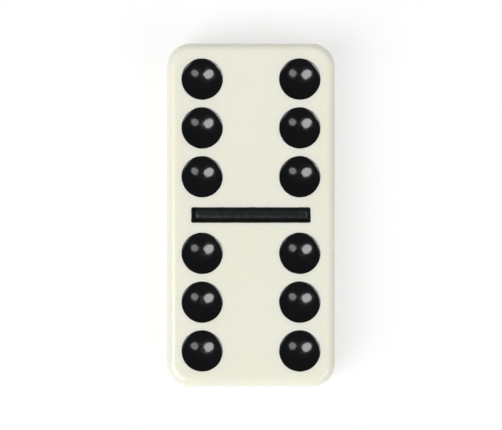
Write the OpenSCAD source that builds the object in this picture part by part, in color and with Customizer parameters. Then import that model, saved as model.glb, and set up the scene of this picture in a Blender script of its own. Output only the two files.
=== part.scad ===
// Double-six domino tile: one moulded resin body with a recess for each pip and
// for the divider, and a separate film of black enamel lining every recess.
// The tile lies on its back. The origin is the centre of the back face, +Y runs
// along the tile, and the front face with the pips looks along +Z.

/* [Tile] */
// Width of the tile, across its two columns of pips
tile_w = 24; // [23:0.5:32]
// Length of the tile, end to end
tile_l = 49; // [48:0.5:64]
// Thickness, from the back face to the front face
tile_t = 9.5; // [6:0.5:14]
// Radius of the four upright corners, seen from the front
corner_r = 3.4; // [1.6:0.1:5]
// Radius of the rounding between each broad face and the sides
edge_r = 1.2; // [0.4:0.1:1.5]

/* [Pips] */
// Diameter of a pip where it meets the front face
pip_d = 5.9; // [3:0.1:6.3]
// Depth of a pip's recess at its centre
pip_depth = 1.3; // [0.5:0.1:2]
// Distance between the two columns of pips, centre to centre
column_gap = 13.9; // [9:0.1:14]
// Distance between neighbouring pips of a column, centre to centre
row_pitch = 6.95; // [6.4:0.05:7.2]
// Distance from the middle of the tile to the nearest row of pips
first_row = 5.45; // [5:0.05:5.6]

/* [Divider] */
// Length of the divider's channel at the front face
bar_l = 17; // [10:0.5:19]
// Width of the divider's channel at the front face
bar_w = 2.2; // [1.6:0.1:3]
// Depth of the divider's channel
bar_depth = 0.8; // [0.4:0.1:1.2]
// How far each wall of the channel leans in between the face and its floor
bar_lean = 0.45; // [0.1:0.05:0.6]

/* [Enamel] */
// Thickness of the enamel film that lines the recesses
enamel_t = 0.14; // [0.08:0.02:0.2]

/* [Hidden] */
$fn = 96;
body_colour = [0.91, 0.91, 0.85];
enamel_colour = [0.06, 0.065, 0.07];

// How far a cutting shape rises above the face that it opens
cut_over = 0.5;
// A recess is part of a ball: its radius and centre follow from the pip's size
pip_r = pip_d / 2;
ball_r = (pip_r * pip_r + pip_depth * pip_depth) / (2 * pip_depth);
ball_z = tile_t - pip_depth + ball_r;
// Sideways lean of the channel's walls for each millimetre of height
bar_slope = bar_lean / bar_depth;
bar_floor_z = tile_t - bar_depth;

// Each pip is named by its half of the tile, its column and its row
HALVES = [["upper", 1], ["lower", -1]];
COLUMNS = [["left", -1], ["right", 1]];
ROWS = [["inner", 0], ["middle", 1], ["outer", 2]];
PIPS = [
    for (half = HALVES)
        for (column = COLUMNS)
            for (row = ROWS)
                [str("pip_", half[0], "_", column[0], "_", row[0]),
                 column[1] * column_gap / 2,
                 half[1] * (first_row + row[1] * row_pitch)]
];

// Upright rounded rectangle: the tile's section, wide along X and tall along Y
module section(width) {
    translate([-width / 2 + edge_r, 0])
        square([width - 2 * edge_r, tile_t]);
    translate([-width / 2, edge_r])
        square([width, tile_t - 2 * edge_r]);
    for (side = [-1, 1])
        for (height = [edge_r, tile_t - edge_r])
            translate([side * (width / 2 - edge_r), height])
                circle(r = edge_r);
}

// Straight run of the section, along Y and centred on the origin
module slab(width, run) {
    rotate([90, 0, 0])
        linear_extrude(height = run, center = true)
            section(width);
}

// Quarter turn of the section that makes one upright corner
module corner() {
    rotate_extrude(angle = 90)
        intersection() {
            section(2 * corner_r);
            square([corner_r, tile_t]);
        }
}

// The tile's block before its recesses are cut
module block() {
    slab(tile_w, tile_l - 2 * corner_r);
    rotate([0, 0, 90])
        slab(tile_l, tile_w - 2 * corner_r);
    for (mirror_x = [0, 1])
        for (mirror_y = [0, 1])
            mirror([mirror_x, 0, 0])
                mirror([0, mirror_y, 0])
                    translate([tile_w / 2 - corner_r, tile_l / 2 - corner_r, 0])
                        corner();
}

// Ball that a pip's recess is part of, made smaller all round by inset
module pip_ball(inset) {
    translate([0, 0, ball_z])
        sphere(r = ball_r - inset);
}

// Upright wedge of the channel along one direction, from its floor to top_z
module channel_wedge(size, cross, inset, top_z) {
    floor_z = bar_floor_z + inset;
    wall_inset = inset * sqrt(1 + bar_slope * bar_slope);
    floor_half = size / 2 - bar_lean + inset * bar_slope - wall_inset;
    top_half = floor_half + (top_z - floor_z) * bar_slope;
    rotate([90, 0, 0])
        linear_extrude(height = cross, center = true)
            polygon([[-floor_half, floor_z], [floor_half, floor_z],
                     [top_half, top_z], [-top_half, top_z]]);
}

// The divider's channel, with its walls and floor moved in by inset
module channel(inset, top_z) {
    intersection() {
        channel_wedge(bar_l, 2 * bar_l, inset, top_z);
        rotate([0, 0, 90])
            channel_wedge(bar_w, 2 * bar_l, inset, top_z);
    }
}

module tile_body() {
    color(body_colour)
        difference() {
            block();
            for (pip = PIPS)
                translate([pip[1], pip[2], 0])
                    pip_ball(0);
            channel(0, tile_t + cut_over);
        }
}

// Enamel lining of the divider's channel
module divider_enamel() {
    color(enamel_colour)
        difference() {
            channel(0, tile_t);
            channel(enamel_t, tile_t + cut_over);
        }
}

// Enamel lining of one pip's recess
module pip_enamel(x, y) {
    color(enamel_colour)
        translate([x, y, 0])
            difference() {
                pip_ball(0);
                pip_ball(enamel_t);
                translate([0, 0, tile_t])
                    cylinder(r = 2 * ball_r, h = 2 * ball_r);
            }
}

tile_body();
divider_enamel();
for (pip = PIPS)
    pip_enamel(pip[1], pip[2]);
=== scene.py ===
import math

import bmesh
import bpy
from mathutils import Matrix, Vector, noise
from mathutils.geometry import delaunay_2d_cdt

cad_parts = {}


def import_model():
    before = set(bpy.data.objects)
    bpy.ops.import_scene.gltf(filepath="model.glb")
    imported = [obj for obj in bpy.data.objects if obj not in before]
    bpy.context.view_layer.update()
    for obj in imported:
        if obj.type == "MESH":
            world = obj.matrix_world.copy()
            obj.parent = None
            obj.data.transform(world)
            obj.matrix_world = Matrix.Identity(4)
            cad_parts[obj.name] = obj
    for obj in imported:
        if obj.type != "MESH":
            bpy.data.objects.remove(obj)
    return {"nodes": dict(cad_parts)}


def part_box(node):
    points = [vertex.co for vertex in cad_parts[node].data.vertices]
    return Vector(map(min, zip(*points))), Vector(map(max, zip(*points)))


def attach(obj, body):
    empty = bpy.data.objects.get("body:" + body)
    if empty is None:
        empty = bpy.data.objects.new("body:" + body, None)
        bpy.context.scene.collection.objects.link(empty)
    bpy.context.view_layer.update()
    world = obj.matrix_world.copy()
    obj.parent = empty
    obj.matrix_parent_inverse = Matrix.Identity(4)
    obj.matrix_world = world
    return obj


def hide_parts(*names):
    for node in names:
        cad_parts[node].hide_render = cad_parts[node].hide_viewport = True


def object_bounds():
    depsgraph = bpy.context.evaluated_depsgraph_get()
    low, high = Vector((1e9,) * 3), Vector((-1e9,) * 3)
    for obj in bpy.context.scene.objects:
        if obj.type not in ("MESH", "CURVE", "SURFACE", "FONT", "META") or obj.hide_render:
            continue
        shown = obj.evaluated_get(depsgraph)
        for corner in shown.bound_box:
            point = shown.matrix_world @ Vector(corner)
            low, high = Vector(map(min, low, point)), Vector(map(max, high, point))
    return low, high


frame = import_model()
cad_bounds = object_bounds()

MM = 0.001

# Shape of the moulded body that its box doesn't give
CORNER_R = 3.4 * MM
EDGE_R = 1.2 * MM
# Width of the flat strip of faces that keeps the shading level beside each rounding
FACE_SUPPORT = 0.12 * MM
SIDE_SUPPORT = 4 * FACE_SUPPORT

# Recesses: how far their rims are softened, how far the channel's walls lean in, and the
# rounding of its upright corners and of its floor's edge
RIM_R = 0.10 * MM
WALL_LEAN = 0.45 * MM
CHANNEL_CORNER_R = 0.22 * MM
CHANNEL_CORNER_MIN_R = 0.06 * MM
CHANNEL_FLOOR_R = 0.42 * MM
# How close the innermost ring of the channel's floor comes to its middle line
CHANNEL_SPINE_HALF = 0.12 * MM

# Enamel films: their thickness, how deep they bite into the resin, and how far from
# their edge they start to thin
FILM_T = 0.14 * MM
FILM_MIN_T = 0.003 * MM
FILM_SINK = 0.012 * MM
FILM_TAPER = 0.35 * MM
# Extra paint that settles in the middle of a recess, and how quickly it fades outwards
FILM_POOL = 0.05 * MM
FILM_POOL_FADE = 2.2
# The films' edge: the share of the rim that stays bare, and how far the edge wanders
# along it, in waves of two sizes
FILM_BARE_RIM = 0.55
FILM_EDGE_WANDER = 0.035 * MM
FILM_LONG_WAVE = 0.9 * MM
FILM_SHORT_WAVE = 0.3 * MM
# The films stay at least this far below the front face
FILM_BELOW_FACE = 0.004 * MM

# Mesh resolution
CORNER_STEPS = 14
SIDE_STEPS = 14
EDGE_STEPS = 10
PIP_COLUMNS = 72
BALL_STEPS = 14
CHANNEL_CORNER_STEPS = 6
CHANNEL_SIDE_STEPS = 40
CHANNEL_FLOOR_STEPS = 3
CHANNEL_BEND_STEPS = 8
RIM_STEPS = 5
FILM_STEPS = 22
# Above 1 these bring a film's rings closer together towards its edge, and keep the
# edge's wandering out of its middle
FILM_RING_CROWDING = 1.6
FILM_WANDER_FALLOFF = 6

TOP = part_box("tile_body")[1].z
BODY = "root"


# ---------------------------------------------------------------- mesh helpers

# How delaunay_2d_cdt works here: it gives the triangles inside any outline, and joins points this near
CDT_INSIDE = 1
CDT_NEAREST = 1e-6


class Builder:
    """Collects vertices and faces, with one number per vertex for the shader."""

    def __init__(self):
        self.points = []
        self.marks = []
        self.faces = []

    def vertex(self, point, mark=0.0):
        self.points.append(Vector(point))
        self.marks.append(mark)
        return len(self.points) - 1

    def ring(self, points, mark=0.0):
        return [self.vertex(p, mark) for p in points]

    def bridge(self, a, b):
        count = len(a)
        for i in range(count):
            j = (i + 1) % count
            self.faces.append((a[i], a[j], b[j], b[i]))

    def fan(self, ring, tip):
        count = len(ring)
        for i in range(count):
            self.faces.append((ring[i], ring[(i + 1) % count], tip))

    def fill(self, outer, holes=()):
        """Flat triangles between an outer ring and the rings of its holes."""
        order = []
        outlines = []
        for ring in [outer, *holes]:
            outlines.append(list(range(len(order), len(order) + len(ring))))
            order += ring
        flat = [self.points[index].to_2d() / MM for index in order]
        found = delaunay_2d_cdt(flat, [], outlines, CDT_INSIDE, CDT_NEAREST)
        triangles, point_sources, outline_sources = found[2], found[3], found[5]
        place = [order[source[0]] for source in point_sources]
        for triangle, inside in zip(triangles, outline_sources):
            if list(inside) == [0]:
                self.faces.append(tuple(place[i] for i in triangle))

    def finish(self, name, material):
        mesh = bpy.data.meshes.new(name)
        mesh.from_pydata(self.points, [], self.faces)
        marks = mesh.attributes.new("mark", "FLOAT", "POINT")
        marks.data.foreach_set("value", self.marks)
        work = bmesh.new()
        work.from_mesh(mesh)
        bmesh.ops.recalc_face_normals(work, faces=work.faces)
        work.to_mesh(mesh)
        work.free()
        mesh.shade_smooth()
        mesh.materials.append(material)
        piece = bpy.data.objects.new(name, mesh)
        bpy.context.scene.collection.objects.link(piece)
        return piece


def steps(count):
    return [i / count for i in range(count + 1)]


def rounded_rectangle(half_x, half_y, radius, corner_steps, side_steps):
    """Points and outward directions of a rounded rectangle, counter-clockwise from the right side."""
    points = []
    directions = []
    centres = [(1, 1), (-1, 1), (-1, -1), (1, -1)]
    for quarter, (sx, sy) in enumerate(centres):
        centre = Vector((sx * (half_x - radius), sy * (half_y - radius)))
        for t in steps(corner_steps):
            angle = (quarter + t) * math.pi / 2
            out = Vector((math.cos(angle), math.sin(angle)))
            points.append(centre + radius * out)
            directions.append(out)
        nx, ny = centres[(quarter + 1) % 4]
        far = Vector((nx * (half_x - radius), ny * (half_y - radius))) + radius * directions[-1]
        near = points[-1]
        for t in steps(side_steps)[1:-1]:
            points.append(near.lerp(far, t))
            directions.append(directions[-1])
    return points, directions


# ---------------------------------------------------------------- recess profiles
# A profile is a list of (out, z, normal_out, normal_z) from the middle of a recess
# up to the front face. For a pip, out is the radius; for the channel it is the
# distance outside the channel's own outline.

def pip_profile(radius, depth):
    ball_r = (radius * radius + depth * depth) / (2 * depth)
    ball_z = TOP - depth + ball_r
    rise = ball_r - depth + RIM_R
    rim_out = math.sqrt((ball_r + RIM_R) ** 2 - rise * rise)
    last = math.atan2(rim_out, rise)
    profile = []
    for t in steps(BALL_STEPS):
        angle = last * t
        s, c = math.sin(angle), math.cos(angle)
        profile.append((ball_r * s, ball_z - ball_r * c, -s, c))
    start = math.atan2(rise, -rim_out)
    for t in steps(RIM_STEPS)[1:]:
        angle = start + (math.pi / 2 - start) * t
        c, s = math.cos(angle), math.sin(angle)
        profile.append((rim_out + RIM_R * c, TOP - RIM_R + RIM_R * s, c, s))
    return profile


def channel_profile(half_width, depth):
    tilt = math.atan2(depth, WALL_LEAN)
    s, c = math.sin(tilt), math.cos(tilt)
    floor_z = TOP - depth
    turn_z = floor_z + CHANNEL_FLOOR_R
    turn_out = ((turn_z - TOP) * c - CHANNEL_FLOOR_R) / s
    profile = []
    flat_from = CHANNEL_SPINE_HALF - half_width
    for t in steps(CHANNEL_FLOOR_STEPS)[:-1]:
        profile.append((flat_from + (turn_out - flat_from) * t, floor_z, 0.0, 1.0))
    for t in steps(CHANNEL_BEND_STEPS):
        a = tilt * t
        out = turn_out + CHANNEL_FLOOR_R * math.sin(a)
        profile.append((out, turn_z - CHANNEL_FLOOR_R * math.cos(a), -math.sin(a), math.cos(a)))
    rim_out = RIM_R * (1 - c) / s
    start = math.atan2(c, -s)
    for t in steps(RIM_STEPS):
        a = start + (math.pi / 2 - start) * t
        out = rim_out + RIM_R * math.cos(a)
        profile.append((out, TOP - RIM_R + RIM_R * math.sin(a), math.cos(a), math.sin(a)))
    return profile


def lengths_along(profile):
    """How far along a profile each of its points lies."""
    total = [0.0]
    for (a, za, _, _), (b, zb, _, _) in zip(profile, profile[1:]):
        total.append(total[-1] + math.hypot(b - a, zb - za))
    return total


def at_length(profile, lengths, s):
    """The profile's four values at a length along it, carried on past its ends."""
    for i in range(len(profile) - 1):
        if s <= lengths[i + 1] or i == len(profile) - 2:
            t = (s - lengths[i]) / (lengths[i + 1] - lengths[i])
            a, b = profile[i], profile[i + 1]
            return [a[k] + (b[k] - a[k]) * t for k in range(4)]


class Recess:
    """A hollow in the front face: its node, its middle, half its size, and its profile."""

    def __init__(self, node):
        low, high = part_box(node)
        self.node = node
        self.centre = Vector(((low.x + high.x) / 2, (low.y + high.y) / 2))
        self.half = Vector(((high.x - low.x) / 2, (high.y - low.y) / 2))
        self.profile = self.make_profile(high.z - low.z)
        self.lengths = lengths_along(self.profile)

    def edge_out(self):
        return self.profile[-1][0]


class Pip(Recess):
    def make_profile(self, depth):
        return pip_profile(self.half.x, depth)

    def loop(self, out):
        """The circle of this radius about the pip's centre, and its outward directions."""
        angles = [2 * math.pi * i / PIP_COLUMNS for i in range(PIP_COLUMNS)]
        directions = [Vector((math.cos(a), math.sin(a))) for a in angles]
        return [self.centre + out * d for d in directions], directions

    def close(self, builder, ring, z):
        """Closes the innermost ring with a tip at this height."""
        builder.fan(ring, builder.vertex((*self.centre, z)))


class Channel(Recess):
    def make_profile(self, depth):
        return channel_profile(self.half.y, depth)

    def loop(self, out):
        """The channel's outline moved outwards by out, and its outward directions."""
        radius = max(CHANNEL_CORNER_R + out, CHANNEL_CORNER_MIN_R)
        half = self.half + Vector((out, out))
        points, directions = rounded_rectangle(
            half.x, half.y, radius, CHANNEL_CORNER_STEPS, CHANNEL_SIDE_STEPS)
        return [self.centre + p for p in points], directions

    def close(self, builder, ring, z):
        """Closes the innermost ring flat, at its own height."""
        builder.fill(ring)


# ---------------------------------------------------------------- pieces

def edge_wander(point):
    """How far along the rim a film's edge strays at this point."""
    wander = noise.noise(Vector((*point, 0)) / FILM_LONG_WAVE)
    wander += 0.5 * noise.noise(Vector((*point, FILM_SHORT_WAVE)) / FILM_SHORT_WAVE)
    return FILM_EDGE_WANDER * wander


def film_thickness(share, reach):
    """Thickness at this share of the way from the middle of a recess to the film's edge."""
    thinning = math.sqrt(min(1.0, reach * (1 - share) / FILM_TAPER))
    pool = FILM_POOL * max(0.0, 1 - FILM_POOL_FADE * share) ** 2
    return max(FILM_T * thinning + pool, FILM_MIN_T)


def film(recess, name, material):
    """The enamel in one recess: it thins to nothing at a slightly wandering edge on the softened rim."""
    builder = Builder()
    whole = recess.lengths[-1]
    rim_length = whole - recess.lengths[-1 - RIM_STEPS]
    reach = whole - FILM_BARE_RIM * rim_length
    wanders = [edge_wander(point) for point in recess.loop(recess.edge_out())[0]]
    top_rings = []
    under_rings = []
    for k in range(1, FILM_STEPS + 1):
        share = 1 - (1 - k / FILM_STEPS) ** FILM_RING_CROWDING
        thickness = film_thickness(share, reach)
        tops = []
        unders = []
        for column, wander in enumerate(wanders):
            s = reach * share + wander * share ** FILM_WANDER_FALLOFF
            out, z, normal_out, normal_z = at_length(recess.profile, recess.lengths, s)
            points, directions = recess.loop(out)
            base = Vector((*points[column], z))
            normal = Vector((*(directions[column] * normal_out), normal_z))
            top = base + normal * thickness
            top.z = min(top.z, TOP - FILM_BELOW_FACE)
            tops.append(top)
            unders.append(base - normal * FILM_SINK)
        top_rings.append(builder.ring(tops))
        under_rings.append(builder.ring(unders))
    floor = recess.profile[0][1]
    recess.close(builder, top_rings[0], floor + FILM_T + FILM_POOL)
    recess.close(builder, under_rings[0], floor - FILM_SINK)
    for rings in (top_rings, under_rings):
        for a, b in zip(rings, rings[1:]):
            builder.bridge(a, b)
    builder.bridge(top_rings[-1], under_rings[-1])
    return builder.finish(name, material)


def body(recesses, material):
    """The moulded tile: rounded slab, softened rims and open recesses, as one closed mesh."""
    low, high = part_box("tile_body")
    half = (high - low) / 2
    builder = Builder()

    def outline(inset, z, mark):
        radius = CORNER_R - inset
        points, _ = rounded_rectangle(half.x - inset, half.y - inset, radius, CORNER_STEPS, SIDE_STEPS)
        return builder.ring([(*p, z) for p in points], mark)

    rings = [outline(EDGE_R + FACE_SUPPORT, low.z, 0.0)]
    for t in steps(EDGE_STEPS):
        a = t * math.pi / 2
        inset = EDGE_R * (1 - math.sin(a))
        rings.append(outline(inset, low.z + EDGE_R * (1 - math.cos(a)), math.sin(2 * a)))
    middle = (low.z + high.z) / 2
    for z in (low.z + EDGE_R + SIDE_SUPPORT, middle, high.z - EDGE_R - SIDE_SUPPORT):
        rings.append(outline(0.0, z, 0.0))
    for t in steps(EDGE_STEPS):
        a = (1 - t) * math.pi / 2
        inset = EDGE_R * (1 - math.sin(a))
        rings.append(outline(inset, high.z - EDGE_R * (1 - math.cos(a)), math.sin(2 * a)))
    rings.append(outline(EDGE_R + FACE_SUPPORT, high.z, 0.0))
    for a, b in zip(rings, rings[1:]):
        builder.bridge(a, b)
    builder.fill(rings[0])

    holes = []
    for recess in recesses:
        support = recess.edge_out() + FACE_SUPPORT
        previous = builder.ring([(*p, TOP) for p in recess.loop(support)[0]])
        holes.append(previous)
        for out, z, _, _ in reversed(recess.profile[1:]):
            ring = builder.ring([(*p, z) for p in recess.loop(out)[0]])
            builder.bridge(previous, ring)
            previous = ring
        recess.close(builder, previous, recess.profile[0][1])

    builder.fill(rings[-1], holes)
    return builder.finish("moulded_body", material)


# ---------------------------------------------------------------- materials

class Shader:
    """A material's node tree, with short calls for the nodes used here."""

    def __init__(self, name):
        self.material = bpy.data.materials.new(name)
        self.material.use_nodes = True
        self.tree = self.material.node_tree
        self.surface = self.tree.nodes["Principled BSDF"]
        self.place = self.node("ShaderNodeTexCoord").outputs["Object"]

    def node(self, kind, **settings):
        made = self.tree.nodes.new(kind)
        for key, value in settings.items():
            setattr(made, key, value)
        return made

    def feed(self, value, socket):
        if isinstance(value, bpy.types.NodeSocket):
            self.tree.links.new(value, socket)
        else:
            socket.default_value = value

    def set(self, **values):
        for key, value in values.items():
            self.feed(value, self.surface.inputs[key.replace("_", " ")])

    def hairlines(self, width, length, turn):
        """1 on rare thin straight scratches, turned by these three angles, and 0 elsewhere."""
        mapped = self.node("ShaderNodeMapping")
        self.feed(self.place, mapped.inputs["Vector"])
        mapped.inputs["Rotation"].default_value = turn
        mapped.inputs["Scale"].default_value = (1 / length, 1 / width, 1 / length)
        streaks = self.noise(1.0, 0.0, 0.5, mapped.outputs["Vector"])
        return self.remap(streaks, 0.74, 0.80, 0.0, 1.0)

    def noise(self, size, detail=2.0, roughness=0.5, place=None):
        """Cloudy values around 0.5, with lumps of about this size in metres."""
        made = self.node("ShaderNodeTexNoise")
        self.feed(place or self.place, made.inputs["Vector"])
        made.inputs["Scale"].default_value = 1 / size
        made.inputs["Detail"].default_value = detail
        made.inputs["Roughness"].default_value = roughness
        return made.outputs["Fac"]

    def dots(self, spacing, radius):
        """1 inside small scattered dots and 0 elsewhere."""
        made = self.node("ShaderNodeTexVoronoi")
        self.feed(self.place, made.inputs["Vector"])
        made.inputs["Scale"].default_value = 1 / spacing
        edge = radius / spacing
        return self.remap(made.outputs["Distance"], edge, 0.6 * edge, 0.0, 1.0)

    def remap(self, value, low, high, to_low, to_high):
        """The value carried from one range to another, and held at its ends."""
        made = self.node("ShaderNodeMapRange", clamp=True)
        for key, item in zip(("Value", "From Min", "From Max", "To Min", "To Max"),
                             (value, low, high, to_low, to_high)):
            self.feed(item, made.inputs[key])
        return made.outputs["Result"]

    def calculate(self, operation, a, b):
        made = self.node("ShaderNodeMath", operation=operation)
        self.feed(a, made.inputs[0])
        self.feed(b, made.inputs[1])
        return made.outputs["Value"]

    def mix(self, share, a, b):
        made = self.node("ShaderNodeMix", data_type="RGBA")
        self.feed(share, made.inputs["Factor"])
        self.feed((*a, 1.0) if isinstance(a, tuple) else a, made.inputs["A"])
        self.feed((*b, 1.0) if isinstance(b, tuple) else b, made.inputs["B"])
        return made.outputs["Result"]

    def mark(self):
        """The builder's number: 0 on flat ground and 1 halfway round a rounded edge."""
        return self.node("ShaderNodeAttribute", attribute_name="mark").outputs["Fac"]

    def bump(self, height, distance, under=None):
        """Relief of this depth, on top of the relief under it."""
        made = self.node("ShaderNodeBump")
        made.inputs["Distance"].default_value = distance
        self.feed(height, made.inputs["Height"])
        if under is not None:
            self.feed(under, made.inputs["Normal"])
        return made.outputs["Normal"]


def ivory_resin():
    """Polished warm white resin, a little see-through: clouds, grain, flecks and hairlines, all faint,
    and painted cool shade on the roundings.
    """
    shader = Shader("ivory_resin")
    clouds = shader.remap(shader.noise(14 * MM, 2.0, 0.45), 0.30, 0.70, 0.0, 1.0)
    colour = shader.mix(clouds, (0.816, 0.808, 0.678), (0.832, 0.822, 0.712))
    grain = shader.remap(shader.noise(0.35 * MM, 2.0, 0.6), 0.3, 0.7, 0.0, 0.10)
    colour = shader.mix(grain, colour, (0.70, 0.68, 0.56))

    # Painted shade: the roundings are patchily tinted a little cooler, standing in for the cool shade
    # that falls on them
    edge_shade_patches = shader.remap(shader.noise(1.6 * MM), 0.4, 0.7, 0.05, 0.35)
    edge = shader.calculate("MULTIPLY", shader.mark(), edge_shade_patches)
    colour = shader.mix(edge, colour, (0.80, 0.82, 0.78))
    flecks = shader.calculate("MULTIPLY", shader.dots(2.3 * MM, 0.09 * MM), 0.25)
    colour = shader.mix(flecks, colour, (0.52, 0.46, 0.33))

    scratches = 0.0
    for turn in ((0.3, 0.6, 0.5), (-0.5, 0.4, -0.9), (0.7, -0.3, 2.1)):
        scratches = shader.calculate("ADD", shader.hairlines(0.07 * MM, 5 * MM, turn), scratches)
    rough = shader.remap(shader.noise(2.5 * MM, 4.0, 0.6), 0.3, 0.7, 0.20, 0.25)
    rough = shader.calculate("ADD", rough, shader.calculate("MULTIPLY", scratches, 0.02))
    relief = shader.bump(shader.noise(1.1 * MM, 2.0), 0.004 * MM)
    relief = shader.bump(shader.calculate("SUBTRACT", 0.0, scratches), 0.0008 * MM, relief)
    shader.set(Base_Color=colour, Roughness=rough, Normal=relief, IOR=1.54,
               Subsurface_Weight=0.35, Subsurface_Scale=2.2 * MM, Subsurface_Radius=(1.0, 0.75, 0.35))
    return shader.material


def black_enamel(name, roughness, dark, pale, shine, coat):
    """Glossy black paint that dried a little unevenly, with specks of dust in it."""
    shader = Shader(name)
    clouds = shader.remap(shader.noise(1.4 * MM, 3.0, 0.6), 0.35, 0.65, 0.0, 1.0)
    colour = shader.mix(clouds, dark, pale)
    dust = shader.calculate("MULTIPLY", shader.dots(0.9 * MM, 0.03 * MM), 0.12)
    colour = shader.mix(dust, colour, (0.25, 0.25, 0.24))
    rough = shader.remap(shader.noise(0.8 * MM, 3.0, 0.6), 0.3, 0.7, *roughness)
    relief = shader.bump(shader.noise(1.3 * MM, 1.0), 0.030 * MM)
    relief = shader.bump(shader.noise(0.25 * MM, 2.0), 0.0012 * MM, relief)
    shader.set(Base_Color=colour, Roughness=rough, Normal=relief, IOR=1.58, Specular_IOR_Level=shine,
               Coat_Weight=coat, Coat_Roughness=0.06)
    return shader.material


def pip_enamel():
    return black_enamel("pip_enamel", roughness=(0.13, 0.22), dark=(0.0018, 0.0021, 0.0024),
                        pale=(0.0030, 0.0034, 0.0040), shine=0.5, coat=0.45)


def divider_enamel():
    """The divider's paint, which is greyer and less glossy than the pips'."""
    return black_enamel("bar_enamel", roughness=(0.17, 0.25), dark=(0.0090, 0.0118, 0.0108),
                        pale=(0.0130, 0.0160, 0.0148), shine=0.35, coat=0.12)


def floor_paper():
    """Matt white sheet that glows, as on a light table, so that shadows on it stay pale."""
    shader = Shader("floor_paper")
    shader.set(Base_Color=(0.34, 0.34, 0.34, 1.0), Roughness=1.0, Specular_IOR_Level=0.0,
               Emission_Color=(1.0, 1.0, 1.0, 1.0), Emission_Strength=0.64)
    return shader.material


# ---------------------------------------------------------------- studio

# Half the floor's width, and how far off the lights stand, so that they light the tile evenly
FLOOR_HALF = 8.0
LIGHT_DISTANCE = 25.0


def floor():
    """Square white sheet under the tile, with the world's white backdrop beyond its far edge."""
    mesh = bpy.data.meshes.new("floor")
    level = cad_bounds[0][2]
    corners = [(x * FLOOR_HALF, y * FLOOR_HALF, level) for x, y in ((-1, -1), (1, -1), (1, 1), (-1, 1))]
    mesh.from_pydata(corners, [], [(0, 1, 2, 3)])
    mesh.materials.append(floor_paper())
    plane = bpy.data.objects.new("floor", mesh)
    bpy.context.scene.collection.objects.link(plane)


def softbox(name, direction, width, height, radiance, colour):
    """An oval light that looks at the tile and spans these two angles, in degrees, as seen from there."""
    data = bpy.data.lights.new(name, "AREA")
    data.shape = "ELLIPSE"
    data.size = 2 * LIGHT_DISTANCE * math.tan(math.radians(width) / 2)
    data.size_y = 2 * LIGHT_DISTANCE * math.tan(math.radians(height) / 2)
    data.color = colour
    data.energy = radiance * math.pi * data.size * data.size_y * math.pi / 4
    lamp = bpy.data.objects.new(name, data)
    towards = Vector(direction).normalized()
    lamp.location = Vector((0, 0, TOP)) + LIGHT_DISTANCE * towards
    lamp.rotation_euler = towards.to_track_quat("Z", "Y").to_euler()
    lamp.visible_camera = False
    bpy.context.scene.collection.objects.link(lamp)


def world(ambient, mirrored, backdrop):
    """Dim even light all round, dimmer still in reflections, and one plain tone behind the floor."""
    made = bpy.data.worlds.new("studio")
    bpy.context.scene.world = made
    made.use_nodes = True
    tree = made.node_tree
    path = tree.nodes.new("ShaderNodeLightPath")
    shown = tree.nodes["Background"]
    shown.inputs["Color"].default_value = (*ambient, 1.0)
    for tone, ray in ((mirrored, "Is Glossy Ray"), (backdrop, "Is Camera Ray")):
        other = tree.nodes.new("ShaderNodeBackground")
        other.inputs["Color"].default_value = (*tone, 1.0)
        both = tree.nodes.new("ShaderNodeMixShader")
        tree.links.new(path.outputs[ray], both.inputs["Fac"])
        tree.links.new(shown.outputs[0], both.inputs[1])
        tree.links.new(other.outputs[0], both.inputs[2])
        shown = both
    tree.links.new(shown.outputs[0], tree.nodes["World Output"].inputs["Surface"])


# The camera's height above the face, the frame's width over its height, and how much of
# that height the tile's length fills
CAMERA_DISTANCE = 0.353
FRAME_ASPECT = 7 / 6
TILE_SHARE = 0.80


def camera():
    """Straight above the tile, looking down, with the tile's length up the frame."""
    low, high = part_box("tile_body")
    data = bpy.data.cameras.new("camera")
    frame_width = (high.y - low.y) / TILE_SHARE * FRAME_ASPECT
    data.lens = data.sensor_width * CAMERA_DISTANCE / frame_width
    data.clip_start = 0.01
    data.clip_end = 200.0
    eye = bpy.data.objects.new("camera", data)
    eye.location = (0, 0, TOP + CAMERA_DISTANCE)
    bpy.context.scene.collection.objects.link(eye)
    bpy.context.scene.camera = eye


# ---------------------------------------------------------------- the scene

def add_pieces():
    pip_nodes = sorted(name for name in frame["nodes"] if name.startswith("pip_"))
    pips = [Pip(node) for node in pip_nodes]
    channel = Channel("divider_enamel")
    made = [(body([*pips, channel], ivory_resin()), "ivory_resin", "tile_body")]
    pip_paint = pip_enamel()
    for pip in pips:
        made.append((film(pip, pip.node + "_film", pip_paint), "black_enamel", pip.node))
    made.append((film(channel, "divider_film", divider_enamel()), "black_enamel", channel.node))
    for piece, slot, node in made:
        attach(piece, BODY)
        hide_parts(node)


add_pieces()
floor()
softbox("key", direction=(-0.46, -0.30, 0.836), width=33, height=49,
        radiance=5.75, colour=(1.0, 0.995, 0.985))
softbox("fill", direction=(0.50, -0.375, 0.79), width=26, height=36,
        radiance=2.65, colour=(1.0, 0.995, 0.99))
world(ambient=(0.345, 0.345, 0.35), mirrored=(0.068, 0.070, 0.074), backdrop=(1.0, 1.0, 1.0))
camera()
bpy.context.scene.view_settings.view_transform = "Standard"
